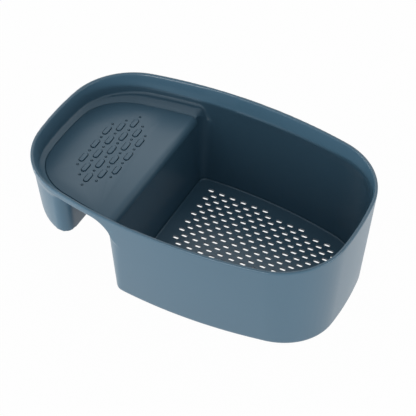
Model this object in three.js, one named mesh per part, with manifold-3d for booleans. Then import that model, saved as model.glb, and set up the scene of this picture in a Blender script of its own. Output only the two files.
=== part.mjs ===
// Sink saddle drain basket: a moulded caddy that straddles the wall between two sinks.
// Millimetres, Z up. X runs along the length, with the hook leg at -X and the basket at +X.
// The origin is under the middle of the rim, on the face that the basket stands on.

import * as THREE from 'three';
import { mergeGeometries, mergeVertices } from 'three/addons/utils/BufferGeometryUtils.js';
import Module from 'manifold-3d';

const wasm = await Module();
wasm.setup();

// Overall size and the arcs of the rim outline
const LENGTH = 300;
const WIDTH = 193.5;
const HEIGHT = 105;
const SIDE_RADIUS = 461;
const END_RADIUS = 292;
const CORNER_RADIUS = 64.5;

// Walls: how far the foot of each wall stands inside the rim, and how thick the wall is
const SIDE_TAPER = 14.1;
const END_TAPER = 5.8;
const WALL = 2.5;
const RIM_WIDTH = 3.2;
const RIM_ROUND = 1.4;
const FOOT_ROUND = 4;
const ROUND_SHARE = 0.3;
const STEP_HEIGHT = 88;
const STEP_WIDTH = 0.8;

// Divider between tray and basket: it leans toward the tray, and its corners open upward
const DIVIDER_FOOT_X = -42.6;
const DIVIDER_LEAN = 0.05;
const DIVIDER_ROUND = 8;
const DIVIDER_ROUND_GROWTH = 0.17;
const LEAST_ROUND = 3;

// Strainer plate, the flange that it rests on and the clearance between loose pieces
const FLANGE_THICK = 1.5;
const FLANGE_WIDTH = 6;
const PLATE_THICK = 2;
const GAP = 0.3;
const SLOT_PITCH = 11.5;
const SLOT_LENGTH = 6.4;
const SLOT_WIDTH = 2.7;
const SLOT_POINT = 0.95;
const SLOT_FIRST_X = -25.7;
const SLOT_MARGIN = 12.8;

// Saddle: the skirt under the rim, the dished wall of the tray and the bridge below its deck
const DECK_HEIGHT = 81.5;
const TRAY_THICK = 2;
const BRIDGE_THICK = 2.4;
const SKIRT_BOTTOM = 97.5;
const DISH_EDGE = { z: 88.5, side: 11.7, end: 4.5, rise: 3 };
const DECK_EDGE = { side: 19.5, end: 9 };
const UNDER_EDGE = { z: 85.2, side: 11, end: 4.2 };
const UNDER_FOOT = { side: 18, end: 6 };
const ARCH_RADIUS = 19;
const ARCH_EDGE_X = -38.6;
const ARCH_TAIL_X = -30;
const ARCH_TAIL_Z = 45;
const SHOULDER_RADIUS = 5;

// Hook leg: a hollow leg with a flat face toward the saddle gap
const LEG_BOTTOM = 45;
const LEG_TOP = 96.5;
const LEG_TOP_INSET = { side: 5, end: 0.6 };
const LEG_NECK_INSET = { side: 5.6, end: 2 };
const LEG_FOOT_INSET = { side: 8, end: 6.2 };
const LEG_FACE_X = -90;
const LEG_ROUND = 6;
const LEG_WALL = 2.4;
const LEG_EDGE = 2;
const LEG_EDGE_INSET = 1.2;

// Sponge tray: its rolled lip over the divider, its pads and its studs
const ROLL_RADIUS = 7;
const LIP_THICK = 1.6;
const LIP_BOTTOM = 72;
const LIP_TIP = 0.9;
const PAD_COUNTS = [3, 4, 5, 4, 3];
const PAD_CENTRE_X = -92;
const PAD_COLUMN = 8.6;
const PAD_PITCH = 20.1;
const PAD_LENGTH = 12.4;
const PAD_WIDTH = 5;
const PAD_RAISE = 1;
const STUD_RADIUS = 1.4;
const STUD_RAISE = 0.8;

// Facets along the arcs
const END_STEPS = 5;
const CORNER_STEPS = 8;
const SIDE_STEPS = 7;
const ROUND_STEPS = 6;
const PAD_STEPS = 3;

// Half spaces reach far outside the part, and cutting bodies a little past the faces they cut
const FAR = 220;
const PAST = 1;

// Points on an arc with the outward normal at each, without the last one
function arcSamples(centre, radius, from, to, steps) {
  const samples = [];
  for (let i = 0; i < steps; i++) {
    const angle = THREE.MathUtils.lerp(from, to, i / steps);
    const normal = new THREE.Vector2(Math.cos(angle), Math.sin(angle));
    samples.push({ point: normal.clone().multiplyScalar(radius).add(centre), normal });
  }
  return samples;
}

// Where two circles cross, on the side away from the origin
function circlesMeet(centreA, radiusA, centreB, radiusB) {
  const between = centreB.clone().sub(centreA);
  const distance = between.length();
  const along = (distance ** 2 + radiusA ** 2 - radiusB ** 2) / (2 * distance);
  const across = Math.sqrt(radiusA ** 2 - along ** 2);
  const unit = between.normalize();
  const foot = centreA.clone().addScaledVector(unit, along);
  const turned = new THREE.Vector2(-unit.y, unit.x);
  return foot.addScaledVector(turned, across);
}

// Rim outline, counter-clockwise: tangent arcs for one quarter, mirrored about both axes
function rimOutline() {
  const side = new THREE.Vector2(0, WIDTH / 2 - SIDE_RADIUS);
  const end = new THREE.Vector2(LENGTH / 2 - END_RADIUS, 0);
  const corner = circlesMeet(end, END_RADIUS - CORNER_RADIUS, side, SIDE_RADIUS - CORNER_RADIUS);
  const endTurn = corner.clone().sub(end).angle();
  const sideTurn = corner.clone().sub(side).angle();
  const quarter = [
    ...arcSamples(end, END_RADIUS, 0, endTurn, END_STEPS),
    ...arcSamples(corner, CORNER_RADIUS, endTurn, sideTurn, CORNER_STEPS),
    ...arcSamples(side, SIDE_RADIUS, sideTurn, Math.PI / 2, SIDE_STEPS),
  ];
  const mirrored = ({ point, normal }, sx, sy) => ({
    point: new THREE.Vector2(point.x * sx, point.y * sy),
    normal: new THREE.Vector2(normal.x * sx, normal.y * sy),
  });
  const crest = { point: new THREE.Vector2(0, WIDTH / 2), normal: new THREE.Vector2(0, 1) };
  const upper = [...quarter, crest, ...quarter.map((s) => mirrored(s, -1, 1)).reverse()];
  const lower = upper.slice(1, -1).map((s) => mirrored(s, 1, -1)).reverse();
  return [...upper, ...lower];
}

const outline = rimOutline();
const taper = (z) => 1 - z / HEIGHT;

// A ring inside the rim outline: its inset is given on the long sides and on the ends,
// and the ends can rise.
function level(z, { side, end, rise = 0 }) {
  return outline.map(({ point, normal }) => {
    const inset = side * normal.y ** 2 + end * normal.x ** 2;
    const at = point.clone().addScaledVector(normal, -inset);
    return new THREE.Vector3(at.x, at.y, z + rise * normal.x ** 2);
  });
}

// A ring of the tapered wall's outer face, moved inward by extra
function wallLevel(z, extra = 0) {
  return level(z, { side: SIDE_TAPER * taper(z) + extra, end: END_TAPER * taper(z) + extra });
}

// A ring with one flat side, rounded into the long walls, and no limit on the other side.
// facing 1 keeps what lies beyond the flat side at +X, and -1 what lies at -X.
function flatSidedRing(z, flatX, round, sideInset, facing) {
  const wallRadius = SIDE_RADIUS - sideInset;
  const wallCentre = WIDTH / 2 - SIDE_RADIUS;
  const centreX = flatX * facing + round;
  const rise = Math.sqrt((wallRadius - round) ** 2 - centreX ** 2);
  const start = Math.atan2(rise, centreX);
  const centre = new THREE.Vector2(centreX, wallCentre + rise);
  const arc = arcSamples(centre, round, start, Math.PI, ROUND_STEPS).map((s) => s.point);
  arc.push(new THREE.Vector2(centreX - round, centre.y));
  const farY = arc[0].y - ((FAR - arc[0].x) * Math.cos(start)) / Math.sin(start);
  const upper = [new THREE.Vector2(FAR, farY), ...arc];
  const lower = upper.map((p) => new THREE.Vector2(p.x, -p.y)).reverse();
  const ring = [...upper, ...lower].map((p) => new THREE.Vector3(p.x * facing, p.y, z));
  return facing > 0 ? ring : ring.reverse();
}

// The divider's face toward the basket, moved toward the tray by extra
const dividerX = (z, extra = 0) => DIVIDER_FOOT_X - DIVIDER_LEAN * z - extra;

// Radius of the divider's outer corners, which open upward
const cornerAt = (z) => ({ z, round: DIVIDER_ROUND + DIVIDER_ROUND_GROWTH * z });

// Corners of the divider outside, and inside, where they ease into the wall above the deck
const cornersOutside = [cornerAt(-2 * PAST), cornerAt(HEIGHT + 2 * PAST)];
const cornersInside = [cornerAt(-2 * PAST), cornerAt(DISH_EDGE.z), { z: HEIGHT + 2 * PAST, round: 0 }];

// The basket's side of the divider, with its face moved by extra and its corners drawn in
function basketSide(corners, extra, drawnIn) {
  return loft(corners.map(({ z, round }) => {
    const sideInset = SIDE_TAPER * taper(z) + drawnIn;
    return flatSidedRing(z, dividerX(z, extra), Math.max(LEAST_ROUND, round - drawnIn), sideInset, 1);
  }));
}

// A closed skin over rings of equal length, from the lowest to the highest
function loft(rings) {
  const count = rings[0].length;
  const index = [];
  for (let r = 0; r < rings.length - 1; r++) {
    for (let i = 0; i < count; i++) {
      const a = r * count + i;
      const b = r * count + ((i + 1) % count);
      index.push(a, b, b + count);
      index.push(a, b + count, a + count);
    }
  }
  const top = (rings.length - 1) * count;
  for (let i = 1; i < count - 1; i++) {
    index.push(0, i + 1, i);
    index.push(top, top + i, top + i + 1);
  }
  const geometry = new THREE.BufferGeometry();
  geometry.setAttribute('position', new THREE.Float32BufferAttribute(
    rings.flat().flatMap((p) => [p.x, p.y, p.z]), 3));
  geometry.setIndex(index);
  return solid(geometry);
}

// A solid that can be joined and cut, from a closed geometry
function solid(geometry) {
  const bare = new THREE.BufferGeometry();
  bare.setAttribute('position', geometry.getAttribute('position'));
  bare.setIndex(geometry.getIndex());
  const merged = mergeVertices(bare, 1e-4);
  return new wasm.Manifold(new wasm.Mesh({
    numProp: 3,
    vertProperties: new Float32Array(merged.getAttribute('position').array),
    triVerts: new Uint32Array(merged.getIndex().array),
  }));
}

// A profile in X and Z, extruded across the part from -halfWidth to halfWidth
function across(profile, halfWidth) {
  const geometry = new THREE.ExtrudeGeometry(profile, {
    depth: 2 * halfWidth,
    bevelEnabled: false,
    curveSegments: ROUND_STEPS,
  });
  geometry.rotateX(Math.PI / 2);
  geometry.translate(0, halfWidth, 0);
  return solid(geometry);
}

// A box between two heights that reaches from one X to another, right across the part
function slab(fromX, toX, fromZ, toZ) {
  const profile = new THREE.Shape();
  profile.moveTo(fromX, fromZ);
  profile.lineTo(toX, fromZ);
  profile.lineTo(toX, toZ);
  profile.lineTo(fromX, toZ);
  return across(profile, FAR);
}

// A plan outline raised from one height to another
function upright(shape, fromZ, toZ) {
  const geometry = new THREE.ExtrudeGeometry(shape, {
    depth: toZ - fromZ,
    bevelEnabled: false,
    curveSegments: PAD_STEPS,
  });
  return geometry.translate(0, 0, fromZ);
}

// The rim's rounded top, shared by the basket and the tray
function rimLevels() {
  return [
    wallLevel(HEIGHT - RIM_ROUND),
    wallLevel(HEIGHT - RIM_ROUND * ROUND_SHARE, RIM_ROUND * ROUND_SHARE),
    wallLevel(HEIGHT, RIM_ROUND),
  ];
}

// Outer face of the whole shell, tapering from the rim to a rounded foot
const outerShell = loft([
  wallLevel(0, FOOT_ROUND),
  wallLevel(FOOT_ROUND * ROUND_SHARE, FOOT_ROUND * ROUND_SHARE),
  wallLevel(FOOT_ROUND),
  ...rimLevels(),
]);

// Space inside the basket's walls, with the step below the rim
const basketSpace = loft([
  wallLevel(FLANGE_THICK, WALL),
  wallLevel(STEP_HEIGHT - STEP_WIDTH, WALL + STEP_WIDTH),
  wallLevel(STEP_HEIGHT, WALL),
  wallLevel(HEIGHT - RIM_ROUND, RIM_WIDTH),
  wallLevel(HEIGHT + PAST, RIM_WIDTH - RIM_ROUND),
]).intersect(basketSide(cornersInside, 0, WALL));

// Opening under the strainer plate, inside the flange
const footOpening = loft([
  wallLevel(-PAST, WALL + FLANGE_WIDTH),
  wallLevel(FLANGE_THICK + PAST, WALL + FLANGE_WIDTH),
]).intersect(basketSide(cornersInside, -FLANGE_WIDTH, WALL + FLANGE_WIDTH));

// Basket block, before its inside is cut away
const basketBlock = outerShell.intersect(basketSide(cornersOutside, WALL, 0));

// Tray block: the skirt, the underside of the dish and the bridge, before the dish is cut away
const recessZ = DECK_HEIGHT - TRAY_THICK - GAP;
const bridgeBottom = recessZ - BRIDGE_THICK;
const trayBlock = loft([
  level(bridgeBottom, UNDER_FOOT),
  level(UNDER_EDGE.z, UNDER_EDGE),
  wallLevel(SKIRT_BOTTOM),
  ...rimLevels(),
]).intersect(slab(-FAR, ARCH_EDGE_X, 0, HEIGHT + PAST));

// Space above the deck: the dished wall, the sloping ledge and the recess for the sponge tray
const dishSpace = loft([
  level(recessZ, DECK_EDGE),
  level(DECK_HEIGHT, DECK_EDGE),
  level(DISH_EDGE.z, DISH_EDGE),
  wallLevel(HEIGHT - RIM_ROUND, RIM_WIDTH),
  wallLevel(HEIGHT + PAST, RIM_WIDTH - RIM_ROUND),
]).intersect(slab(-FAR, dividerX(0), 0, HEIGHT + 2 * PAST));

// Room above the divider's rounded shoulder, under the rolled lip of the sponge tray
function shoulderRoom() {
  const x = dividerX(recessZ);
  const profile = new THREE.Shape();
  profile.moveTo(x - SHOULDER_RADIUS, recessZ);
  profile.absarc(x - SHOULDER_RADIUS, recessZ - SHOULDER_RADIUS, SHOULDER_RADIUS, Math.PI / 2, 0, true);
  profile.lineTo(x + PAST, recessZ - SHOULDER_RADIUS);
  profile.lineTo(x + PAST, recessZ + PAST);
  profile.lineTo(x - SHOULDER_RADIUS, recessZ + PAST);
  return across(profile, WIDTH / 2 - DECK_EDGE.side - ROLL_RADIUS / 2);
}

// Web that rounds the saddle arch into the edge of the basket, behind each long wall
function archWeb() {
  const profile = new THREE.Shape();
  const centreX = ARCH_EDGE_X - ARCH_RADIUS;
  const centreZ = SKIRT_BOTTOM - ARCH_RADIUS;
  profile.moveTo(centreX, SKIRT_BOTTOM);
  profile.absarc(centreX, centreZ, ARCH_RADIUS, Math.PI / 2, 0, true);
  profile.lineTo(ARCH_TAIL_X, ARCH_TAIL_Z);
  profile.lineTo(ARCH_TAIL_X, HEIGHT + PAST);
  profile.lineTo(centreX, HEIGHT + PAST);
  return across(profile, FAR).intersect(outerShell);
}

// Hook leg: a tapered shell that follows the end of the rim, open below
function hookLeg() {
  const stations = [
    { z: LEG_BOTTOM, inset: LEG_FOOT_INSET, extra: LEG_EDGE_INSET },
    { z: LEG_BOTTOM + LEG_EDGE, inset: LEG_FOOT_INSET, extra: 0 },
    { z: UNDER_EDGE.z, inset: LEG_NECK_INSET, extra: 0 },
    { z: LEG_TOP, inset: LEG_TOP_INSET, extra: 0 },
  ];
  const shell = (thick, past) => {
    const drawn = stations.map(({ z, inset, extra }, i) => ({
      z: z + (i === 0 ? -past : 0) + (i === stations.length - 1 ? past : 0),
      side: inset.side + (thick || extra),
      end: inset.end + (thick || extra),
      back: thick || extra,
    }));
    const round = drawn.map(({ z, side, end }) => level(z, { side, end }));
    const flat = drawn.map(({ z, side, back }) => {
      return flatSidedRing(z, LEG_FACE_X - back, LEG_ROUND - back, side, -1);
    });
    return loft(round).intersect(loft(flat));
  };
  return shell(0, 0).subtract(shell(LEG_WALL, PAST));
}

// Body: shells joined first, then every inside space is cut away
const bodySolid = basketBlock
  .add(archWeb())
  .add(hookLeg())
  .add(trayBlock)
  .subtract(basketSpace)
  .subtract(footOpening)
  .subtract(dishSpace)
  .subtract(shoulderRoom());

// Strainer plate: the floor outline with staggered rows of slots
function strainerPlate() {
  const bottom = FLANGE_THICK + GAP;
  const top = bottom + PLATE_THICK;
  const edge = WALL + GAP;
  const blank = loft([wallLevel(bottom, edge + GAP), wallLevel(top, edge)])
    .intersect(basketSide(cornersInside, -2 * GAP, edge))
    .intersect(slab(-FAR, FAR, bottom, top));
  const half = SLOT_PITCH / 2;
  const floorEdge = wallLevel(top, WALL);
  const clearance = (x, y) => Math.min(...floorEdge.map((p, i) => {
    const { normal } = outline[i];
    return normal.x * (p.x - x) + normal.y * (p.y - y);
  }));
  const slots = [];
  const rows = Math.ceil(WIDTH / SLOT_PITCH);
  for (let row = -rows; row < rows; row++) {
    const y = (row + 0.5) * half;
    const stagger = row % 2 === 0 ? half : 0;
    for (let x = SLOT_FIRST_X + stagger; x < LENGTH / 2; x += SLOT_PITCH) {
      if (clearance(x, y) > SLOT_MARGIN) {
        slots.push(upright(slotShape(), bottom - PAST, top + PAST).translate(x, y, 0));
      }
    }
  }
  return blank.subtract(solid(mergeGeometries(slots)));
}

// One slot: a long hexagon with its points along X
function slotShape() {
  const tip = SLOT_LENGTH / 2;
  const flat = tip - SLOT_POINT;
  const shape = new THREE.Shape();
  shape.moveTo(tip, 0);
  shape.lineTo(flat, SLOT_WIDTH / 2);
  shape.lineTo(-flat, SLOT_WIDTH / 2);
  shape.lineTo(-tip, 0);
  shape.lineTo(-flat, -SLOT_WIDTH / 2);
  shape.lineTo(flat, -SLOT_WIDTH / 2);
  return shape;
}

// Profile of the rolled lip: the deck's end, the roll over the divider and a thinning tip
function rollProfile() {
  const faceX = dividerX(LIP_BOTTOM + ROLL_RADIUS) + GAP + LIP_THICK;
  const centreX = faceX - ROLL_RADIUS;
  const centreZ = DECK_HEIGHT - ROLL_RADIUS;
  const inner = ROLL_RADIUS - LIP_THICK;
  const tipBack = dividerX(LIP_BOTTOM) + 2 * GAP;
  const profile = new THREE.Shape();
  profile.moveTo(centreX - PAST, DECK_HEIGHT - TRAY_THICK);
  profile.lineTo(centreX, DECK_HEIGHT - LIP_THICK);
  profile.absarc(centreX, centreZ, inner, Math.PI / 2, 0, true);
  profile.lineTo(tipBack, LIP_BOTTOM);
  profile.lineTo(tipBack + LIP_TIP, LIP_BOTTOM);
  profile.lineTo(faceX, centreZ);
  profile.absarc(centreX, centreZ, ROLL_RADIUS, 0, Math.PI / 2, false);
  profile.lineTo(centreX - PAST, DECK_HEIGHT);
  return { profile, deckEndX: centreX };
}

// A pad with round ends, long across the tray
function padShape() {
  const radius = PAD_WIDTH / 2;
  const straight = PAD_LENGTH / 2 - radius;
  const shape = new THREE.Shape();
  shape.absarc(0, straight, radius, 0, Math.PI, false);
  shape.absarc(0, -straight, radius, Math.PI, 2 * Math.PI, false);
  return shape;
}

// A stud between two pads of a column
function studShape() {
  const shape = new THREE.Shape();
  shape.absarc(0, 0, STUD_RADIUS, 0, 2 * Math.PI, false);
  return shape;
}

// Sponge tray: the deck with its pads and studs, hooked over the divider
function spongeTray() {
  const { profile, deckEndX } = rollProfile();
  const edge = { side: DECK_EDGE.side + GAP, end: DECK_EDGE.end + GAP };
  const deck = loft([level(DECK_HEIGHT - TRAY_THICK, edge), level(DECK_HEIGHT, edge)])
    .intersect(slab(-FAR, deckEndX, 0, HEIGHT));
  const lipHalf = WIDTH / 2 - DECK_EDGE.side - ROLL_RADIUS / 2 - GAP;
  const raised = [];
  PAD_COUNTS.forEach((count, column) => {
    const x = PAD_CENTRE_X + (column - (PAD_COUNTS.length - 1) / 2) * PAD_COLUMN;
    for (let i = 0; i < count; i++) {
      const y = (i - (count - 1) / 2) * PAD_PITCH;
      raised.push(upright(padShape(), DECK_HEIGHT - PAST, DECK_HEIGHT + PAD_RAISE).translate(x, y, 0));
    }
    for (let i = 0; i <= count; i++) {
      const y = (i - count / 2) * PAD_PITCH;
      raised.push(upright(studShape(), DECK_HEIGHT - PAST, DECK_HEIGHT + STUD_RAISE).translate(x, y, 0));
    }
  });
  const divider = slab(deckEndX, 0, 0, recessZ)
    .subtract(basketSide(cornersInside, -GAP, WALL + GAP))
    .subtract(shoulderRoom());
  const lip = across(profile, lipHalf).subtract(divider);
  return deck.add(lip).add(solid(mergeGeometries(raised)));
}

// A named mesh from a solid, in satin moulded plastic
function piece(name, shape, color) {
  const { vertProperties, triVerts } = shape.getMesh();
  const geometry = new THREE.BufferGeometry();
  geometry.setAttribute('position', new THREE.Float32BufferAttribute(vertProperties, 3));
  geometry.setIndex(new THREE.Uint32BufferAttribute(triVerts, 1));
  geometry.computeVertexNormals();
  const material = new THREE.MeshStandardMaterial({ color, roughness: 0.42, metalness: 0 });
  const mesh = new THREE.Mesh(geometry, material);
  mesh.name = name;
  return mesh;
}

const sinkBasket = new THREE.Group();
sinkBasket.add(piece('basket_body', bodySolid, 0x4d6577));
sinkBasket.add(piece('strainer_plate', strainerPlate(), 0x465d6e));
sinkBasket.add(piece('sponge_tray', spongeTray(), 0x50687a));

export default sinkBasket;
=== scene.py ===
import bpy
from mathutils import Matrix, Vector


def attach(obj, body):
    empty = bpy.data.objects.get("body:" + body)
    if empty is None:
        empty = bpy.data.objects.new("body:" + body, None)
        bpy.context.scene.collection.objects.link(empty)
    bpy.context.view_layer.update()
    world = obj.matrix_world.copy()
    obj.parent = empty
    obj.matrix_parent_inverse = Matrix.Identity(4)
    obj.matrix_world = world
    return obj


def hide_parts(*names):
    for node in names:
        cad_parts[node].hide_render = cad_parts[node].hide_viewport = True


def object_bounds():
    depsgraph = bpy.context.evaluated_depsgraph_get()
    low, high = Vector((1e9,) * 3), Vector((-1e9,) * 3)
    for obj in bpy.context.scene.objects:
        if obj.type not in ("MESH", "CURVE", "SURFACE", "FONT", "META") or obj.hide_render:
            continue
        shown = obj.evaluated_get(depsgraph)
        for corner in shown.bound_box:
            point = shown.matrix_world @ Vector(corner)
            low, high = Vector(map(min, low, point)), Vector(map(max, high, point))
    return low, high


bl_info = {
    "name": "Sink Saddle Drain Basket",
    "version": (1, 0, 0),
    "blender": (4, 5, 0),
    "location": "View3D > Sidebar > Sink Basket",
    "description": "Moulds a sink saddle basket with its strainer plate and sponge tray, and sets a studio",
    "category": "Add Mesh",
}

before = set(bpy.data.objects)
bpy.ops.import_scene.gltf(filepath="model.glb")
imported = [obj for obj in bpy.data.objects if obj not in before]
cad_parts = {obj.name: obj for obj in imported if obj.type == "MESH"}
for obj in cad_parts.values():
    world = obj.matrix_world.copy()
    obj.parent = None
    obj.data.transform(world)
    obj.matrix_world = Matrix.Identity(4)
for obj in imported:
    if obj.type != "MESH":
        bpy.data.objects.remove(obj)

import math

import bmesh
import bpy
from bpy.props import FloatProperty, FloatVectorProperty, IntProperty, PointerProperty
from mathutils import Matrix, Vector

CAD_BOX = [list(corner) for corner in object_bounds()]
LOW, HIGH = (Vector(corner) for corner in CAD_BOX)

# How far a cutting form reaches past what it cuts
PAST = 0.001
# Places nearer to each other than this are the same place
SAME = 1e-6
# How near a point has to be to a cutting plane to lie on it
ON_PLANE = 1e-7


# Sizes and colours that a user can change

def length(name, description, default):
    """A length in metres."""
    return FloatProperty(name=name, description=description, default=default, unit="LENGTH", precision=4)


def rate(name, description, default):
    """A plain number, such as a gain per height."""
    return FloatProperty(name=name, description=description, default=default)


def colour(name, description, default):
    """A colour of three parts."""
    return FloatVectorProperty(
        name=name, description=description, default=default, subtype="COLOR", size=3, min=0, max=1)


class ShellSizes(bpy.types.PropertyGroup):
    """Sizes of the moulded body."""

    rim_length: length("Length", "Rim from the hook leg's end to the basket's end", 0.300)
    rim_width: length("Width", "Rim across the basket at its widest", 0.1935)
    height: length("Height", "From the foot to the rim", HIGH.z)
    side_radius: length("Side radius", "Arc of the long sides in plan", 0.461)
    end_radius: length("End radius", "Arc of the ends in plan", 0.292)
    corner_radius: length("Corner radius", "Arc of the corners in plan", 0.0645)
    side_taper: length("Side taper", "How far the foot stands inside the rim on the long sides", 0.0141)
    end_taper: length("End taper", "How far the foot stands inside the rim at the end", 0.0058)
    wall: length("Wall", "Thickness of the walls", 0.0025)
    lip: length("Rim lip", "Width of the rounded rim", 0.0032)
    lip_round: length("Rim rounding", "Radius of the rim's edges", 0.0014)
    foot_round: length("Foot rounding", "Radius along the foot", 0.004)
    flange_thick: length("Flange", "Thickness of the flange under the strainer plate", 0.0015)
    flange_width: length("Flange width", "How far the flange reaches inward", 0.006)
    divider_x: length("Divider", "Where the divider's basket face meets the floor", -0.0426)
    divider_lean: rate("Divider lean", "Lean toward the tray per height", 0.05)
    divider_round: length("Divider corners", "Corner radius of the divider at the floor", 0.008)
    divider_opening: rate("Corner growth", "Corner radius gained per height", 0.17)
    step_height: length("Step", "Height of the step inside the basket wall", 0.088)
    step_width: length("Step width", "How far the wall steps inward", 0.0005)
    deck_height: length("Deck", "Height of the tray's deck", 0.0815)
    deck_inset_side: length("Deck inset", "From the rim's edge to the deck on the long sides", 0.0195)
    deck_inset_end: length("Deck end inset", "From the rim's edge to the deck at the end", 0.0090)
    ledge_height: length("Ledge", "Height of the ledge along the front of the deck", 0.0885)
    band_height: length("Band", "Height where the tray wall's upper band starts", 0.096)
    skirt_height: length("Skirt", "Height where the skirt under the rim ends", 0.0975)
    arch_radius: length("Arch", "Radius where the skirt turns down into the basket's edge", 0.019)
    arch_x: length("Arch edge", "Where the arch comes down on the long walls", -0.0386)
    bridge_bottom: length("Saddle", "Height of the saddle that rests on the sink wall", 0.0768)
    leg_bottom: length("Leg bottom", "Height of the hook leg's lower edge", 0.045)
    leg_face: length("Leg face", "Flat face of the leg toward the saddle gap", -0.090)
    leg_round: length("Leg corners", "Corner radius of the leg", 0.010)
    leg_wall: length("Leg wall", "Thickness of the leg's walls", 0.0024)
    grain: length("Softening", "Size of the mesh that rounds the moulding's edges", 0.0009)
    faces: IntProperty(name="Faces", description="Triangles kept on the moulding", default=180000)


class PlateSizes(bpy.types.PropertyGroup):
    """Sizes of the strainer plate."""

    gap: length("Gap", "Clearance to the body", 0.0003)
    thick: length("Thickness", "Thickness of the plate", 0.002)
    pitch: length("Slot pitch", "Distance between slots of a row", 0.0115)
    slot_length: length("Slot length", "Length of a slot", 0.0061)
    slot_width: length("Slot width", "Width of a slot", 0.0032)
    first_x: length("First slot", "Where the first column of slots stands", -0.0257)
    margin: length("Margin", "Least distance from a slot's middle to the floor's edge", 0.0128)


class TraySizes(bpy.types.PropertyGroup):
    """Sizes of the sponge tray."""

    gap: length("Gap", "Clearance to the body", 0.0003)
    thick: length("Thickness", "Thickness of the tray", 0.002)
    roll: length("Roll", "Radius of the rolled edge over the divider", 0.007)
    roll_x: length("Roll start", "Where the deck starts to roll down", -0.0515)
    pad_length: length("Pad length", "Length of a raised pad", 0.0108)
    pad_width: length("Pad width", "Width of a raised pad", 0.0042)
    pad_raise: length("Pad height", "How far a pad stands above the deck", 0.0008)
    pad_pitch: length("Pad pitch", "Distance between pads of a column", 0.0201)
    pad_column: length("Pad columns", "Distance between columns of pads", 0.0086)
    pad_centre: length("Pad centre", "Where the middle column stands", -0.092)
    moat: length("Groove", "Width of the fine groove round each pad and stud", 0.0007)
    moat_depth: length("Groove depth", "Depth of the fine groove", 0.0013)
    stud_radius: length("Stud radius", "Radius of the studs between pads", 0.0006)
    stud_raise: length("Stud height", "How far a stud stands above the deck", 0.0003)


class FinishColours(bpy.types.PropertyGroup):
    """Colours of the plastic and the studio."""

    slate: colour("Slate blue", "Colour of the moulded plastic", (0.069, 0.152, 0.222))
    slate_deep: colour("Deep slate", "Darker shade in the plastic", (0.063, 0.141, 0.207))
    paper: colour("Paper", "Colour of the floor", (0.9, 0.9, 0.9))


# Plan outlines

# Points along the end, the corner and the side in a quarter of the rim
END_STEPS, CORNER_STEPS, SIDE_STEPS = 14, 24, 44
# Points along the wall, the corner and the flat side in half of a flat-sided ring
WALL_POINTS, ROUND_POINTS, FLAT_POINTS = 110, 12, 10
# How far the wall's own points keep from the corner's start
TOUCH_GAP = 0.002


def arc(centre, radius, start, stop, steps):
    """Points and outward directions along an arc, without its last point."""
    turns = [start + (stop - start) * i / steps for i in range(steps)]
    ways = [Vector((math.cos(t), math.sin(t))) for t in turns]
    return [(centre + way * radius, way) for way in ways]


def rim_outline(shell):
    """The rim's outer edge and its outward directions, counter-clockwise from the basket's end."""
    side = Vector((0, shell.rim_width / 2 - shell.side_radius))
    end = Vector((shell.rim_length / 2 - shell.end_radius, 0))
    reach_end = shell.end_radius - shell.corner_radius
    reach_side = shell.side_radius - shell.corner_radius
    span = side - end
    along = (span.length_squared + reach_end ** 2 - reach_side ** 2) / (2 * span.length)
    across = math.sqrt(reach_end ** 2 - along ** 2)
    unit = span.normalized()
    corner = end + unit * along + Vector((-unit.y, unit.x)) * across
    end_turn = math.atan2(corner.y - end.y, corner.x - end.x)
    side_turn = math.atan2(corner.y - side.y, corner.x - side.x)
    quarter = arc(end, shell.end_radius, 0, end_turn, END_STEPS)
    quarter += arc(corner, shell.corner_radius, end_turn, side_turn, CORNER_STEPS)
    quarter += arc(side, shell.side_radius, side_turn, math.pi / 2, SIDE_STEPS)
    crest = (Vector((0, shell.rim_width / 2)), Vector((0, 1)))

    def mirrored(samples, sx, sy):
        """The same points and directions with their signs changed."""
        return [(Vector((p.x * sx, p.y * sy)), Vector((n.x * sx, n.y * sy))) for p, n in samples]

    upper = quarter + [crest] + mirrored(quarter, -1, 1)[::-1]
    return upper + mirrored(upper[1:-1], 1, -1)[::-1]


def inset_ring(outline, z, side, end):
    """A ring inside the outline, with one inset on the long sides and one at the ends.
    The height and the insets are numbers, or functions of the place along the length
    and the outward direction."""
    ring = []
    for point, way in outline:
        height, on_side, on_end = (v(point.x, way) if callable(v) else v for v in (z, side, end))
        at = point - way * (on_side * way.y ** 2 + on_end * way.x ** 2)
        ring.append(Vector((at.x, at.y, height)))
    return ring


def spread(points, count):
    """The same line with evenly spread points, ends included."""
    marks = [0.0]
    for a, b in zip(points, points[1:]):
        marks.append(marks[-1] + (b - a).length)
    out, k = [], 0
    for i in range(count):
        want = marks[-1] * i / (count - 1)
        while k < len(points) - 2 and marks[k + 1] < want:
            k += 1
        share = (want - marks[k]) / (marks[k + 1] - marks[k])
        out.append(points[k].lerp(points[k + 1], min(max(share, 0), 1)))
    return out


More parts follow.
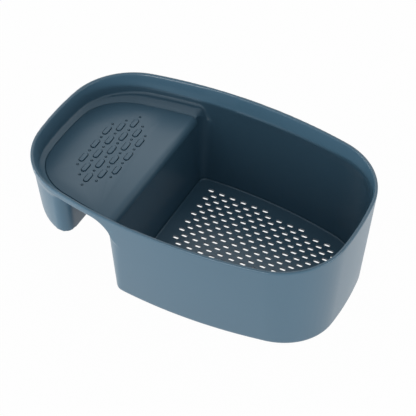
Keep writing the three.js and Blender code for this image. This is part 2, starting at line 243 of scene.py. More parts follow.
def flat_sided_ring(shell, outline, z, side, end, flat_x, round_, facing=1):
    """A ring of the tapered wall that is closed by a flat side with rounded corners.
    facing 1 keeps the basket's end and -1 the leg's end."""
    centre_y = shell.rim_width / 2 - shell.side_radius
    wall_radius = shell.side_radius - side
    corner_x = flat_x * facing + round_
    corner = Vector((corner_x, centre_y + math.sqrt((wall_radius - round_) ** 2 - corner_x ** 2)))
    start = math.atan2(corner.y - centre_y, corner.x)
    touch = Vector((0, centre_y)) + Vector((math.cos(start), math.sin(start))) * wall_radius
    wall = [Vector((p.x * facing, p.y)) for p in inset_ring(outline, z, side, end)]
    wall = [p for p in wall if p.y > -SAME and p.x > touch.x + TOUCH_GAP]
    wall.sort(key=lambda p: math.atan2(p.y, p.x - touch.x))
    half = spread(wall + [touch], WALL_POINTS)
    half += [p for p, _ in arc(corner, round_, start, math.pi, ROUND_POINTS)][1:]
    half += [Vector((corner.x - round_, corner.y * (1 - i / FLAT_POINTS))) for i in range(FLAT_POINTS)]
    full = half + [Vector((p.x, -p.y)) for p in half[:0:-1]]
    return [Vector((p.x * facing, p.y, z)) for p in full]


# Modelling steps

# Radius of the circle that a loft starts from, before it is laid on its first ring
START_RADIUS = 0.1
# Strength and number of the smoothing passes over the moulding
SMOOTHING, SMOOTHING_PASSES = 0.5, 4


def clear_selection():
    """Nothing selected, in object mode."""
    if bpy.context.object and bpy.context.object.mode != "OBJECT":
        bpy.ops.object.mode_set(mode="OBJECT")
    bpy.ops.object.select_all(action="DESELECT")


def make_active(obj):
    """Only this object selected and active."""
    clear_selection()
    obj.select_set(True)
    bpy.context.view_layer.objects.active = obj


def discard(obj):
    """Removes an object and its mesh."""
    mesh = obj.data
    bpy.data.objects.remove(obj)
    bpy.data.meshes.remove(mesh)


def apply_modifier(obj, kind, **settings):
    """Adds a modifier to the active object, sets it and applies it."""
    bpy.ops.object.modifier_add(type=kind)
    modifier = obj.modifiers[-1]
    for key, value in settings.items():
        setattr(modifier, key, value)
    bpy.ops.object.modifier_apply(modifier=modifier.name)


def lofted(name, rings):
    """A closed form drawn through rings: a circle laid on the first ring and extruded to each next."""
    clear_selection()
    bpy.ops.mesh.primitive_circle_add(vertices=len(rings[0]), radius=START_RADIUS)
    obj = bpy.context.object
    obj.name = name
    bpy.ops.object.mode_set(mode="EDIT")
    bpy.ops.mesh.select_mode(type="VERT")
    bpy.ops.mesh.select_all(action="SELECT")
    mesh = bmesh.from_edit_mesh(obj.data)
    lane = mesh.verts.layers.int.new("lane")
    mesh.verts.ensure_lookup_table()
    for i, vert in enumerate(mesh.verts):
        vert[lane] = i
        vert.co = rings[0][i]
    bmesh.update_edit_mesh(obj.data)
    for ring in rings[1:]:
        bpy.ops.mesh.extrude_region_move()
        mesh = bmesh.from_edit_mesh(obj.data)
        lane = mesh.verts.layers.int["lane"]
        for vert in mesh.verts:
            if vert.select:
                vert.co = ring[vert[lane]]
        bmesh.update_edit_mesh(obj.data)
    bpy.ops.mesh.edge_face_add()
    bpy.ops.mesh.select_all(action="DESELECT")
    bpy.ops.mesh.select_non_manifold()
    bpy.ops.mesh.edge_face_add()
    bpy.ops.mesh.select_all(action="SELECT")
    bpy.ops.mesh.normals_make_consistent(inside=False)
    bpy.ops.object.mode_set(mode="OBJECT")
    obj.data.attributes.remove(obj.data.attributes["lane"])
    return obj


def bisected(obj, x):
    """The form without what lies past a place along the length."""
    make_active(obj)
    bpy.ops.object.mode_set(mode="EDIT")
    bpy.ops.mesh.select_all(action="SELECT")
    bpy.ops.mesh.bisect(
        plane_co=(x, 0, 0), plane_no=(1, 0, 0), use_fill=True, clear_outer=True, threshold=ON_PLANE)
    bpy.ops.mesh.select_all(action="SELECT")
    bpy.ops.mesh.normals_make_consistent(inside=False)
    bpy.ops.object.mode_set(mode="OBJECT")
    return obj


def creased(obj, places):
    """The form with edges across its faces at places along the length, where a rolled face bends."""
    make_active(obj)
    bpy.ops.object.mode_set(mode="EDIT")
    for x in places:
        bpy.ops.mesh.select_all(action="SELECT")
        bpy.ops.mesh.bisect(plane_co=(x, 0, 0), plane_no=(1, 0, 0), threshold=ON_PLANE)
    bpy.ops.object.mode_set(mode="OBJECT")
    return obj


def upright_round(radius, low, high, points):
    """A round form that stands between two heights."""
    clear_selection()
    bpy.ops.mesh.primitive_cylinder_add(
        vertices=points, radius=radius, depth=high - low, location=(0, 0, (low + high) / 2))
    bpy.ops.object.transform_apply(location=True, rotation=True, scale=True)
    return bpy.context.object


def stretched(obj, axis, by):
    """A round form drawn out along an axis into an oblong."""
    for vert in obj.data.vertices:
        if abs(vert.co[axis]) > SAME:
            vert.co[axis] += math.copysign(by, vert.co[axis])
    return obj


def copied(places):
    """One form made of copies: each place gives a model and where its copy stands.
    The models are removed."""
    copies = []
    for model, x, y in places:
        copy = model.copy()
        copy.data = model.data.copy()
        copy.data.transform(Matrix.Translation((x, y, 0)))
        bpy.context.scene.collection.objects.link(copy)
        copies.append(copy)
    for model in dict.fromkeys(model for model, _, _ in places):
        discard(model)
    clear_selection()
    for copy in copies:
        copy.select_set(True)
    bpy.context.view_layer.objects.active = copies[0]
    bpy.ops.object.join()
    return bpy.context.object


def combine(obj, tool, operation):
    """Joins a form to another, or cuts it away, and removes it."""
    make_active(obj)
    apply_modifier(obj, "BOOLEAN", operation=operation, solver="EXACT", object=tool)
    discard(tool)
    if not obj.data.polygons:
        raise RuntimeError(f"nothing is left of {obj.name}")


def soften(obj, grain, faces):
    """Rounds edges as a mould rounds them, by a fine even mesh that is smoothed and thinned."""
    make_active(obj)
    apply_modifier(obj, "REMESH", mode="VOXEL", voxel_size=grain)
    apply_modifier(obj, "SMOOTH", factor=SMOOTHING, iterations=SMOOTHING_PASSES)
    triangles = sum(len(p.vertices) - 2 for p in obj.data.polygons)
    if triangles > faces:
        apply_modifier(obj, "DECIMATE", ratio=faces / triangles)
    bpy.ops.object.shade_smooth()


def finish_piece(obj, name, body, node, material):
    """Names a piece, gives it its finish and sets it in the place of its solid."""
    obj.name = name
    obj.data.name = name
    obj.data.materials.clear()
    obj.data.materials.append(material)
    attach(obj, body)
    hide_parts(node)


# Finish

# Lowest roughness of the walls and the plate, and of the duller tray
WALL_ROUGHNESS, TRAY_ROUGHNESS = 0.27, 0.38
# How much the roughness varies over a piece
GLOSS_SPREAD = 0.08


def satin_plastic(name, colours, roughness):
    """Moulded satin plastic: two close shades, a fine spark texture and slight changes of gloss."""
    material = bpy.data.materials.new(name)
    material.use_nodes = True
    nodes, links = material.node_tree.nodes, material.node_tree.links
    shader = nodes["Principled BSDF"]
    shader.inputs["IOR"].default_value = 1.49
    place = nodes.new("ShaderNodeTexCoord")
    cloud = nodes.new("ShaderNodeTexNoise")
    cloud.inputs["Scale"].default_value = 14
    cloud.inputs["Detail"].default_value = 3
    shades = nodes.new("ShaderNodeMix")
    shades.data_type = "RGBA"
    shades.inputs["A"].default_value = (*colours.slate_deep, 1)
    shades.inputs["B"].default_value = (*colours.slate, 1)
    gloss = nodes.new("ShaderNodeMapRange")
    gloss.inputs["To Min"].default_value = roughness
    gloss.inputs["To Max"].default_value = roughness + GLOSS_SPREAD
    spark = nodes.new("ShaderNodeTexNoise")
    spark.inputs["Scale"].default_value = 2600
    spark.inputs["Detail"].default_value = 2
    bump = nodes.new("ShaderNodeBump")
    bump.inputs["Strength"].default_value = 0.06
    bump.inputs["Distance"].default_value = 0.0002
    links.new(place.outputs["Object"], cloud.inputs["Vector"])
    links.new(place.outputs["Object"], spark.inputs["Vector"])
    links.new(cloud.outputs["Fac"], shades.inputs["Factor"])
    links.new(cloud.outputs["Fac"], gloss.inputs["Value"])
    links.new(shades.outputs["Result"], shader.inputs["Base Color"])
    links.new(gloss.outputs["Result"], shader.inputs["Roughness"])
    links.new(spark.outputs["Fac"], bump.inputs["Height"])
    links.new(bump.outputs["Normal"], shader.inputs["Normal"])
    return material


# Body

# Steps round the rim's edge and the foot, and up the basket's wall and the leg
RIM_STEPS, FOOT_STEPS, WALL_STEPS, LEG_STEPS = 4, 5, 8, 8
# Creases along the roll of the dish's underside, and the share of its radius where it stops
ROLL_STEPS, ROLL_END = 8, 0.9999
# Corner radius inside the basket that is gained per height
ROOM_OPENING = 0.115
# Corner radius of the opening inside the flange
FOOT_CORNER = 0.003
# Where the forms of the tray and its dish end, inside the basket's room
TRAY_CUT_X, DISH_CUT_X = -0.022, -0.014
# How the tray's underside leaves the back wall: below a height, at a slope
UNDER_TOP, UNDER_SLOPE = 0.081, 1.2
# Least distance of the underside from the front wall's outside
UNDER_GAP = 0.0006
# Height where the skirt meets the plain rim
SKIRT_TOP = 0.1005
# Where the dish's sides start to come out to the basket's wall, and over what length
BLEND_BACK, BLEND_FRONT = (-0.0525, 0.010), (-0.046, 0.032)
# How far the dish's sides stand inside the basket's room, so that the two don't share a face
FLUSH = 0.00002
# How far short of its full drop the recess under the tray's roll stops
SHOULDER_STOP = 0.0002


def taper_at(shell, z):
    """Insets of the tapered wall at a height, on the long sides and at the end."""
    share = 1 - z / shell.height
    return shell.side_taper * share, shell.end_taper * share


def rounded(radius, steps):
    """Offsets inward and upward along a quarter round."""
    turns = [math.pi / 2 * i / steps for i in range(steps + 1)]
    return [(radius * (1 - math.sin(t)), radius * (1 - math.cos(t))) for t in turns]


def between(marks):
    """A line through marks of height and value, as a function of height."""
    def at(z):
        for (z0, v0), (z1, v1) in zip(marks, marks[1:]):
            if z <= z1:
                return v0 + (v1 - v0) * (z - z0) / (z1 - z0)
        return marks[-1][1]
    return at


def rim_rows(shell):
    """Heights and insets of the rim's rounded outer edge."""
    low = shell.height - shell.lip_round
    turns = [math.pi / 2 * i / RIM_STEPS for i in range(RIM_STEPS + 1)]
    return [(low + shell.lip_round * math.sin(t), shell.lip_round * (1 - math.cos(t))) for t in turns]


def corner_round(shell, z):
    """Outer corner radius of the divider at a height."""
    return shell.divider_round + shell.divider_opening * z


def basket_block(shell, outline):
    """The basket's outside, with its rounded foot and rim."""
    rows = [(up, drawn) for drawn, up in rounded(shell.foot_round, FOOT_STEPS)]
    rows += [(shell.height * i / WALL_STEPS, 0) for i in range(1, WALL_STEPS)]
    rows += rim_rows(shell)
    rings = []
    for z, drawn in rows:
        side, end = taper_at(shell, z)
        flat = shell.divider_x - shell.divider_lean * z - shell.wall + drawn
        corner = corner_round(shell, z)
        rings.append(flat_sided_ring(shell, outline, z, side + drawn, end + drawn, flat, corner))
    return lofted("basket_block", rings)


def arch_drop(shell, x):
    """How far the skirt's lower edge comes down at a place along the length."""
    over = x - (shell.arch_x - shell.arch_radius)
    if over <= 0:
        return 0
    if over >= shell.arch_radius:
        return over
    return shell.arch_radius - math.sqrt(shell.arch_radius ** 2 - over ** 2)


def tray_block(shell, outline):
    """The tray's outside: the saddle, the dish's underside, the skirt with its arch and the rim."""
    def dropped(z):
        """A height that comes down along the arch."""
        return lambda x, _: z - arch_drop(shell, x)

    def under(z, front):
        """Insets of the underside: well behind the skirt at the front, near the wall at the back."""
        def at(x, way):
            wall = taper_at(shell, z - arch_drop(shell, x))[0]
            if way.y < 0:
                return max(front, wall + UNDER_GAP)
            return wall + max(0, UNDER_SLOPE * (UNDER_TOP - z))
        return at

    def skirt(x, _):
        """Insets of the skirt's lower edge, which lies on the tapered wall."""
        return taper_at(shell, shell.skirt_height - arch_drop(shell, x))[0]

    low, edge = shell.bridge_bottom, shell.skirt_height
    # Above the flat saddle: height, height that the wall is taken at, and insets at the front and the end
    rows = (
        (low + 0.0015, low + 0.0015, 0.0165, 0.0075),
        (0.0852, 0.0852, 0.0110, 0.0065),
        (edge - 0.0012, edge, 0.0018, 0.0010),
    )
    rings = [inset_ring(outline, low, under(low, 0.0190), 0.0085)]
    rings += [inset_ring(outline, dropped(z), under(at, front), end) for z, at, front, end in rows]
    rings.append(inset_ring(outline, dropped(edge), skirt, 0.0004))
    for z, drawn in [(SKIRT_TOP, 0)] + rim_rows(shell):
        side, end = taper_at(shell, z)
        rings.append(inset_ring(outline, z, side + drawn, end + drawn))
    return bisected(lofted("tray_block", rings), TRAY_CUT_X)


# The leg's top inside the skirt, and its insets by height on the long sides and at the end
LEG_TOP = 0.0965
LEG_SIDE = between([(0.045, 0.0072), (0.047, 0.0068), (0.0900, 0.0042), (LEG_TOP, 0.0020)])
LEG_END = between([(0.045, 0.0056), (0.047, 0.0050), (0.0852, 0.0013), (LEG_TOP, 0.0004)])


def leg_block(shell, outline, thick, low, high):
    """The hook leg's outside, or its hollow where a thickness is given, tapered and with a flat face."""
    rings = []
    for i in range(LEG_STEPS + 1):
        z = low + (high - low) * i / LEG_STEPS
        rings.append(flat_sided_ring(
            shell, outline, z, LEG_SIDE(z) + thick, LEG_END(z) + thick,
            shell.leg_face - thick, shell.leg_round - thick, facing=-1))
    return lofted("leg_block", rings)


def basket_space(shell, outline):
    """The room inside the basket, with the fine step below its rim."""
    wall, lip, fine = shell.wall, shell.lip, shell.step_width
    step, rim = shell.step_height, shell.height - shell.lip_round
    # Height and inset from the tapered outside
    rows = [(z, wall) for z in (shell.flange_thick, 0.03, 0.055, 0.074, 0.081)]
    rows += [
        (step - fine + 0.0008, wall + fine),
        (step + 0.0016, wall),
        (0.092, wall),
        (0.096, wall + 0.0002),
        (rim, lip),
        (rim + 0.0007, lip - 0.0002),
        (shell.height, lip - 0.0009),
        (shell.height + PAST, lip - 0.0022),
    ]
    rings = []
    for z, drawn in rows:
        side, end = taper_at(shell, z)
        corner = shell.divider_round - wall + ROOM_OPENING * z
        flat = shell.divider_x - shell.divider_lean * z
        rings.append(flat_sided_ring(shell, outline, z, side + drawn, end + drawn, flat, corner))
    return lofted("basket_space", rings)


def foot_space(shell, outline):
    """The opening under the strainer plate, inside the flange."""
    drawn = shell.wall + shell.flange_width
    side, end = taper_at(shell, 0)
    flat = shell.divider_x + shell.flange_width
    return lofted("foot_space", [
        flat_sided_ring(shell, outline, z, side + drawn, end + drawn, flat, FOOT_CORNER)
        for z in (-PAST, shell.flange_thick + PAST)])


def roll_drop(x, start, radius, most):
    """How far a rolled edge has come down at a place along the length."""
    over = min(max(x - start, 0), radius * ROLL_END)
    return min(most, radius - math.sqrt(radius ** 2 - over ** 2))


def dish_space(shell, tray, outline):
    """The room above the deck: the tray's recess, the ledge, the steep wall and the flared band."""
    deck, ledge, band = shell.deck_height, shell.ledge_height, shell.band_height
    step, fine = shell.step_height, shell.step_width
    rim = shell.height - shell.lip_round
    side, end = shell.deck_inset_side, shell.deck_inset_end
    recess = deck - tray.thick - tray.gap
    shoulder = recess - (deck - tray.roll)

    def fall(x, radius=tray.roll, most=tray.roll):
        """How far the roll has come down at a place, and on at an even slope past its end."""
        past = max(x - tray.roll_x - tray.roll, 0)
        return roll_drop(x, tray.roll_x, radius, most) + past

    def rolled(front, back, radius=tray.roll, most=tray.roll):
        """A height at the front and one round the back, which come down with the roll."""
        return lambda x, way: back + (front - back) * max(-way.y, 0) ** 2 - fall(x, radius, most)

    def wall_inset(z):
        """Inset of the basket wall's inside at a height."""
        return taper_at(shell, z)[0] + shell.wall + FLUSH

    def sided(z, front, back, rolls=True):
        """Insets at the front and the back, which come out to the basket's wall past the divider."""
        def at(x, way):
            start, reach = BLEND_BACK if way.y > 0 else BLEND_FRONT
            share = min(max((x - start) / reach, 0), 1)
            share = share ** 2 * (3 - 2 * share)
            inset = back if way.y > 0 else front
            return inset + (wall_inset(z - fall(x) * rolls) - inset) * share
        return at

    # Heights at the front and the back, height that the wall is taken at,
    # and insets at the front, the back and the end, for rows that come down with the roll
    rolled_rows = (
        (deck + 0.0012, deck + 0.0004, deck, 0.0172, 0.0170, end - 0.0010),
        (ledge - 0.0016, deck + 0.0024, deck, 0.0122, 0.0106, 0.0056),
        (ledge - 0.0010, deck + 0.0027, deck, 0.0117, 0.0094, 0.0052),
        (ledge - 0.0005, deck + 0.0022, deck, 0.0115, 0.0081, 0.0046),
        (ledge, deck + 0.0024, deck, 0.0113, 0.0071, 0.0043),
        (ledge + 0.0004, deck + 0.0033, 0.086, 0.0112, 0.0059, 0.0042),
    )
    # Height, height that the wall is taken at, and insets at the front, the back and the end
    level_rows = (
        (step - fine + 0.0010, step, 0.0110, wall_inset(step) + fine, 0.0041),
        (step + 0.0016, step, 0.0106, wall_inset(step), 0.0040),
        (band, band, 0.0080, wall_inset(band), 0.0036),
        (rim, rim, 0.0034, 0.0033, 0.0033),
    )
    rings = [
        inset_ring(outline, rolled(recess, recess, shoulder, shoulder - SHOULDER_STOP), side, end),
        inset_ring(outline, rolled(deck, deck), side, end),
    ]
    for front_z, back_z, at, front, back, tip in rolled_rows:
        rings.append(inset_ring(outline, rolled(front_z, back_z), sided(at, front, back), tip))
    for z, at, front, back, tip in level_rows:
        rings.append(inset_ring(outline, z, sided(at, front, back, False), tip))
    # Height and inset of the rim's inner edge, all round
    for z, drawn in ((shell.height, 0.0023), (shell.height + PAST, 0.0010)):
        rings.append(inset_ring(outline, z, drawn, drawn))
    dish = bisected(lofted("dish_space", rings), DISH_CUT_X)
    return creased(dish, [tray.roll_x + tray.roll * i / ROLL_STEPS for i in range(ROLL_STEPS + 1)])


class SINKBASKET_OT_body(bpy.types.Operator):
    """Mould the body: outside forms joined, inside rooms cut away and edges softened"""

    bl_idname = "sinkbasket.body"
    bl_label = "Basket Body"

    def execute(self, context):
        shell, tray = context.scene.basket_shell, context.scene.basket_tray
        outline = rim_outline(shell)
        body = basket_block(shell, outline)
        combine(body, tray_block(shell, outline), "UNION")
        combine(body, leg_block(shell, outline, 0, shell.leg_bottom, LEG_TOP), "UNION")
        hollow = leg_block(shell, outline, shell.leg_wall, shell.leg_bottom - PAST, shell.bridge_bottom)
        combine(body, hollow, "DIFFERENCE")
        combine(body, dish_space(shell, tray, outline), "DIFFERENCE")
        combine(body, basket_space(shell, outline), "DIFFERENCE")
        combine(body, foot_space(shell, outline), "DIFFERENCE")
        soften(body, shell.grain, shell.faces)
        plastic = satin_plastic("slate_body_plastic", context.scene.basket_finish, WALL_ROUGHNESS)
        finish_piece(body, "moulded_body", "body", "basket_body", plastic)
        return {"FINISHED"}


# Strainer plate

# Points round a slot
SLOT_POINTS = 16
# Faces of the plate that meet at less than this look rounded
PLATE_CREASE = math.radians(35)
# Chamfer of the plate's lower edge
PLATE_EDGE = 0.0004
# The bead along the plate's upper edge: upward and inward
PLATE_BEAD = (
    (0, 0), (0.0003, 0.0001), (0.0005, 0.0004), (0.0005, 0.0008), (0.0003, 0.0012), (0, 0.0015))


class SINKBASKET_OT_plate(bpy.types.Operator):
    """Cut the strainer plate: the floor's outline with staggered rows of slots"""

    bl_idname = "sinkbasket.plate"
    bl_label = "Strainer Plate"

    def execute(self, context):
        shell, plate = context.scene.basket_shell, context.scene.basket_plate
        outline = rim_outline(shell)
        low = shell.flange_thick + plate.gap
        high = low + plate.thick
        side, end = taper_at(shell, low)
        corner = corner_round(shell, low) - shell.wall
        rings = []
        for z, drawn in self.edge_rows(low, high):
            edge = shell.wall + plate.gap + drawn
            flat = shell.divider_x - shell.divider_lean * low + 2 * plate.gap + drawn
            rings.append(flat_sided_ring(shell, outline, z, side + edge, end + edge, flat, corner))
        floor = lofted("strainer_plate_form", rings)
        slots = self.slots(shell, plate, outline, low - PAST, high + PAST)
        combine(floor, slots, "DIFFERENCE")
        bpy.ops.object.shade_smooth_by_angle(angle=PLATE_CREASE)
        plastic = satin_plastic("slate_plate_plastic", context.scene.basket_finish, WALL_ROUGHNESS)
        finish_piece(floor, "slotted_floor", "plate", "strainer_plate", plastic)
        return {"FINISHED"}

    def edge_rows(self, low, high):
        """Heights and insets of the plate's edge, with the fine bead that runs along it."""
        foot = [(low, PLATE_EDGE), (low + PLATE_EDGE, 0)]
        return foot + [(high + up, drawn) for up, drawn in PLATE_BEAD]

    def slots(self, shell, plate, outline, low, high):
        """All slots as one cutting form: one slot modelled and copied to its places."""
        slot = upright_round(plate.slot_width / 2, low, high, SLOT_POINTS)
        stretched(slot, 0, (plate.slot_length - plate.slot_width) / 2)
        side, end = taper_at(shell, low)
        edge = inset_ring(outline, 0, side + shell.wall, end + shell.wall)
        half = plate.pitch / 2
        rows = math.ceil(shell.rim_width / plate.pitch)
        places = []
        for row in range(-rows, rows):
            y = (row + 0.5) * half
            x = plate.first_x + (half if row % 2 == 0 else 0)
            while x < shell.rim_length / 2:
                room = min(way.x * (p.x - x) + way.y * (p.y - y) for p, (_, way) in zip(edge, outline))
                if room > plate.margin:
                    places.append((slot, x, y))
                x += plate.pitch
        return copied(places)


# Sponge tray

# Pads in each column
PAD_COUNTS = (3, 4, 5, 4, 3)
# Points round a pad or stud
PAD_POINTS = 24
# How far pads and studs reach into the deck below their grooves
PAD_ROOT = 0.0003
# Rounding of a pad's top edge as a share of its height, and its steps
PAD_ROUND, PAD_ROUND_STEPS = 0.3, 3
# Steps of the rolled edge
SPIN_STEPS = 10
# Rounding of the deck's edges
DECK_EDGE = 0.0003
# How straight a face has to look along the length to be the deck's cut end
END_FACING = 0.99
# Faces of the tray that meet at less than this look rounded
TRAY_CREASE = math.radians(40)


class SINKBASKET_OT_tray(bpy.types.Operator):
    """Form the sponge tray: the deck, its rolled edge over the divider, its pads and its studs"""

    bl_idname = "sinkbasket.tray"
    bl_label = "Sponge Tray"

    def execute(self, context):
        shell, tray = context.scene.basket_shell, context.scene.basket_tray
        deck = self.deck(shell, tray)
        combine(deck, self.raised(shell, tray, tray.moat), "DIFFERENCE")
        combine(deck, self.raised(shell, tray), "UNION")
        bpy.ops.object.shade_smooth_by_angle(angle=TRAY_CREASE)
        plastic = satin_plastic("slate_tray_plastic", context.scene.basket_finish, TRAY_ROUGHNESS)
        finish_piece(deck, "sponge_deck", "tray", "sponge_tray", plastic)
        return {"FINISHED"}

    def deck(self, shell, tray):
        """The deck, cut at the roll and spun down over the divider."""
        outline = rim_outline(shell)
        side, end = shell.deck_inset_side + tray.gap, shell.deck_inset_end + tray.gap
        top, low = shell.deck_height, shell.deck_height - tray.thick
        rows = [(low, DECK_EDGE), (low + DECK_EDGE, 0), (top - DECK_EDGE, 0)]
        rows += [(top - DECK_EDGE / 3, DECK_EDGE / 3), (top, DECK_EDGE)]
        deck = lofted("deck_form", [inset_ring(outline, z, side + d, end + d) for z, d in rows])
        bisected(deck, tray.roll_x)
        bpy.ops.object.mode_set(mode="EDIT")
        bpy.ops.mesh.select_all(action="DESELECT")
        mesh = bmesh.from_edit_mesh(deck.data)
        facing = [f for f in mesh.faces if f.normal.x > END_FACING]
        cut = [f for f in facing if abs(f.calc_center_median().x - tray.roll_x) < SAME]
        if not cut:
            raise RuntimeError("the deck has no end face to roll")
        for face in cut:
            face.select_set(True)
        bmesh.update_edit_mesh(deck.data)
        centre = (tray.roll_x, 0, top - tray.roll)
        bpy.ops.mesh.spin(steps=SPIN_STEPS, angle=-math.pi / 2, center=centre, axis=(0, 1, 0))
        bpy.ops.mesh.select_all(action="SELECT")
        bpy.ops.mesh.remove_doubles(threshold=SAME)
        bpy.ops.mesh.normals_make_consistent(inside=False)
        bpy.ops.object.mode_set(mode="OBJECT")
        return deck

    def raised(self, shell, tray, moat=0):
        """The pads and studs as one form, each modelled once and copied, or the grooves round them."""
        foot = tray.moat_depth if moat else tray.moat_depth + PAD_ROOT
        level, straight = shell.deck_height, tray.pad_length - tray.pad_width
        pad = self.button(tray.pad_width / 2 + moat, straight, level - foot, level, tray.pad_raise)
        stud = self.button(tray.stud_radius + moat, 0, level - foot, level, tray.stud_raise)
        places = []
        for column, count in enumerate(PAD_COUNTS):
            x = tray.pad_centre + (column - len(PAD_COUNTS) // 2) * tray.pad_column
            places += [(pad, x, (i - (count - 1) / 2) * tray.pad_pitch) for i in range(count)]
            places += [(stud, x, (i - count / 2) * tray.pad_pitch) for i in range(count + 1)]
        return copied(places)

    def button(self, radius, straight, low, level, height):
        """A pad or stud with a rounded top edge, drawn out across the tray by its straight part."""
        top = level + height
        form = stretched(upright_round(radius, low, top, PAD_POINTS), 1, straight / 2)
        bpy.ops.object.mode_set(mode="EDIT")
        bpy.ops.mesh.select_all(action="DESELECT")
        mesh = bmesh.from_edit_mesh(form.data)
        for edge in mesh.edges:
            edge.select_set(all(abs(v.co.z - top) < SAME for v in edge.verts))
        bmesh.update_edit_mesh(form.data)
        bpy.ops.mesh.bevel(offset=PAD_ROUND * height, segments=PAD_ROUND_STEPS, affect="EDGES")
        bpy.ops.object.mode_set(mode="OBJECT")
        return form


# Stage

FLOOR_SIZE = 8
# How white the floor looks to the camera, and the sky's light on the object
FLOOR_WHITE, SKY_LIGHT = 0.98, 0.31
# Name, place, width, height and power of each soft light
LAMPS = (
    ("front_strip", (-0.1, -3.0, 0.358), 1.6, 0.05, 38),
    ("front_softbox", (-0.3, -2.7, 0.95), 1.6, 1.0, 8),
    ("back_softbox", (-0.6, 1.3, 1.45), 2.0, 1.4, 9),
    ("left_softbox", (-1.6, -0.5, 0.14), 1.0, 0.16, 11),
    ("corner_softbox", (1.3, 1.25, 0.95), 0.9, 0.7, 1.5),
    ("right_softbox", (1.7, 0.2, 0.13), 1.0, 0.16, 9),
)
# The camera's place, its turn about the basket, its height angle and its roll
CAMERA_PLACE = (0.3899, -0.7269, 0.8973)
CAMERA_TURN, CAMERA_TILT, CAMERA_ROLL = (math.radians(angle) for angle in (27.84, 45.70, 0.46))
# The camera's sensor in millimetres, and its focal length and picture width in pixels
SENSOR, FOCAL_PIXELS, PICTURE_PIXELS = 36, 1328.0, 416


def seen_by_camera(tree):
    """Nodes that tell whether the camera sees a place, itself or in a reflection."""
    path = tree.nodes.new("ShaderNodeLightPath")
    seen = tree.nodes.new("ShaderNodeMath")
    seen.operation = "MAXIMUM"
    tree.links.new(path.outputs["Is Camera Ray"], seen.inputs[0])
    tree.links.new(path.outputs["Is Glossy Ray"], seen.inputs[1])
    return seen.outputs["Value"]


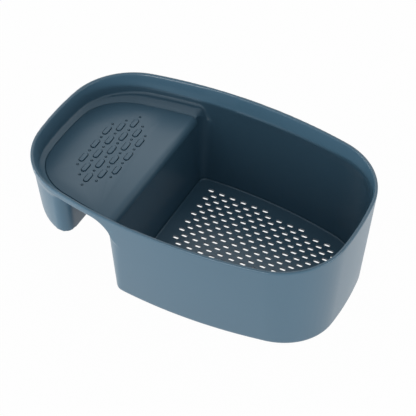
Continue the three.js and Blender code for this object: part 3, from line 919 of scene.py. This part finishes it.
class SINKBASKET_OT_stage(bpy.types.Operator):
    """Set the stage: pale floor, soft lights and the camera"""

    bl_idname = "sinkbasket.stage"
    bl_label = "Studio Stage"

    def execute(self, context):
        self.floor(context)
        self.world(context)
        for lamp in LAMPS:
            self.lamp(*lamp)
        self.camera(context)
        context.scene.view_settings.view_transform = "Standard"
        return {"FINISHED"}

    def floor(self, context):
        """A paper floor that takes the shadow and looks nearly white to the camera."""
        clear_selection()
        bpy.ops.mesh.primitive_plane_add(size=FLOOR_SIZE, location=(0, 0, LOW.z))
        floor = bpy.context.object
        bpy.ops.object.transform_apply(location=True, rotation=True, scale=True)
        floor.name = "studio_floor"
        material = bpy.data.materials.new("paper_floor")
        material.use_nodes = True
        nodes, links = material.node_tree.nodes, material.node_tree.links
        nodes.remove(nodes["Principled BSDF"])
        paper = nodes.new("ShaderNodeBsdfDiffuse")
        paper.inputs["Color"].default_value = (*context.scene.basket_finish.paper, 1)
        white = nodes.new("ShaderNodeEmission")
        share = nodes.new("ShaderNodeMath")
        share.operation = "MULTIPLY"
        share.inputs[1].default_value = FLOOR_WHITE
        mix = nodes.new("ShaderNodeMixShader")
        links.new(seen_by_camera(material.node_tree), share.inputs[0])
        links.new(share.outputs["Value"], mix.inputs["Fac"])
        links.new(paper.outputs["BSDF"], mix.inputs[1])
        links.new(white.outputs["Emission"], mix.inputs[2])
        links.new(mix.outputs["Shader"], nodes["Material Output"].inputs["Surface"])
        floor.data.materials.append(material)

    def world(self, context):
        """A dim even sky that looks white to the camera."""
        world = bpy.data.worlds.new("studio_world")
        world.use_nodes = True
        nodes, links = world.node_tree.nodes, world.node_tree.links
        sky = nodes["Background"]
        sky.inputs["Color"].default_value = (1, 1, 1, 1)
        sky.inputs["Strength"].default_value = SKY_LIGHT
        white = nodes.new("ShaderNodeBackground")
        white.inputs["Strength"].default_value = 1
        mix = nodes.new("ShaderNodeMixShader")
        links.new(seen_by_camera(world.node_tree), mix.inputs["Fac"])
        links.new(sky.outputs["Background"], mix.inputs[1])
        links.new(white.outputs["Background"], mix.inputs[2])
        links.new(mix.outputs["Shader"], nodes["World Output"].inputs["Surface"])
        context.scene.world = world

    def lamp(self, name, place, wide, tall, power):
        """A soft light that faces the basket."""
        clear_selection()
        bpy.ops.object.light_add(type="AREA", location=place)
        lamp = bpy.context.object
        lamp.name = name
        lamp.data.energy = power
        lamp.data.shape = "RECTANGLE"
        lamp.data.size = wide
        lamp.data.size_y = tall
        aim = Vector((0, 0, HIGH.z / 2)) - Vector(place)
        lamp.rotation_euler = aim.to_track_quat("-Z", "Y").to_euler()

    def camera(self, context):
        """The camera, from the basket's front and right and from above."""
        turn, tilt, roll = CAMERA_TURN, CAMERA_TILT, CAMERA_ROLL
        back = Vector((math.sin(turn) * math.cos(tilt), -math.cos(turn) * math.cos(tilt), math.sin(tilt)))
        level = Vector((math.cos(turn), math.sin(turn), 0))
        raised = back.cross(level)
        right = level * math.cos(roll) + raised * math.sin(roll)
        up = raised * math.cos(roll) - level * math.sin(roll)
        clear_selection()
        bpy.ops.object.camera_add(location=CAMERA_PLACE)
        camera = bpy.context.object
        camera.name = "photo_camera"
        camera.rotation_euler = Matrix((right, up, back)).transposed().to_euler()
        camera.data.sensor_width = SENSOR
        camera.data.lens = SENSOR * FOCAL_PIXELS / PICTURE_PIXELS
        camera.data.clip_start = 0.01
        camera.data.clip_end = 50
        context.scene.camera = camera


class SINKBASKET_PT_panel(bpy.types.Panel):
    """The basket's sizes, colours and building steps"""

    bl_idname = "SINKBASKET_PT_panel"
    bl_label = "Sink Basket"
    bl_space_type = "VIEW_3D"
    bl_region_type = "UI"
    bl_category = "Sink Basket"

    def draw(self, context):
        scene = context.scene
        steps = (
            (SINKBASKET_OT_stage, scene.basket_finish),
            (SINKBASKET_OT_body, scene.basket_shell),
            (SINKBASKET_OT_plate, scene.basket_plate),
            (SINKBASKET_OT_tray, scene.basket_tray),
        )
        for step, group in steps:
            box = self.layout.box()
            for key in group.__annotations__:
                box.prop(group, key)
            box.operator(step.bl_idname)


CLASSES = (
    ShellSizes, PlateSizes, TraySizes, FinishColours,
    SINKBASKET_OT_body, SINKBASKET_OT_plate, SINKBASKET_OT_tray, SINKBASKET_OT_stage,
    SINKBASKET_PT_panel,
)
GROUPS = {
    "basket_shell": ShellSizes,
    "basket_plate": PlateSizes,
    "basket_tray": TraySizes,
    "basket_finish": FinishColours,
}


def register():
    """Adds the classes, and the sizes and colours to the scene."""
    for cls in CLASSES:
        bpy.utils.register_class(cls)
    for name, group in GROUPS.items():
        setattr(bpy.types.Scene, name, PointerProperty(type=group))


def unregister():
    """Takes them away again."""
    for name in GROUPS:
        delattr(bpy.types.Scene, name)
    for cls in reversed(CLASSES):
        bpy.utils.unregister_class(cls)


def main():
    """Sets the stage and builds the pieces in order."""
    register()
    bpy.ops.sinkbasket.stage()
    bpy.ops.sinkbasket.body()
    bpy.ops.sinkbasket.plate()
    bpy.ops.sinkbasket.tray()
    clear_selection()


if __name__ == "__main__":
    main()
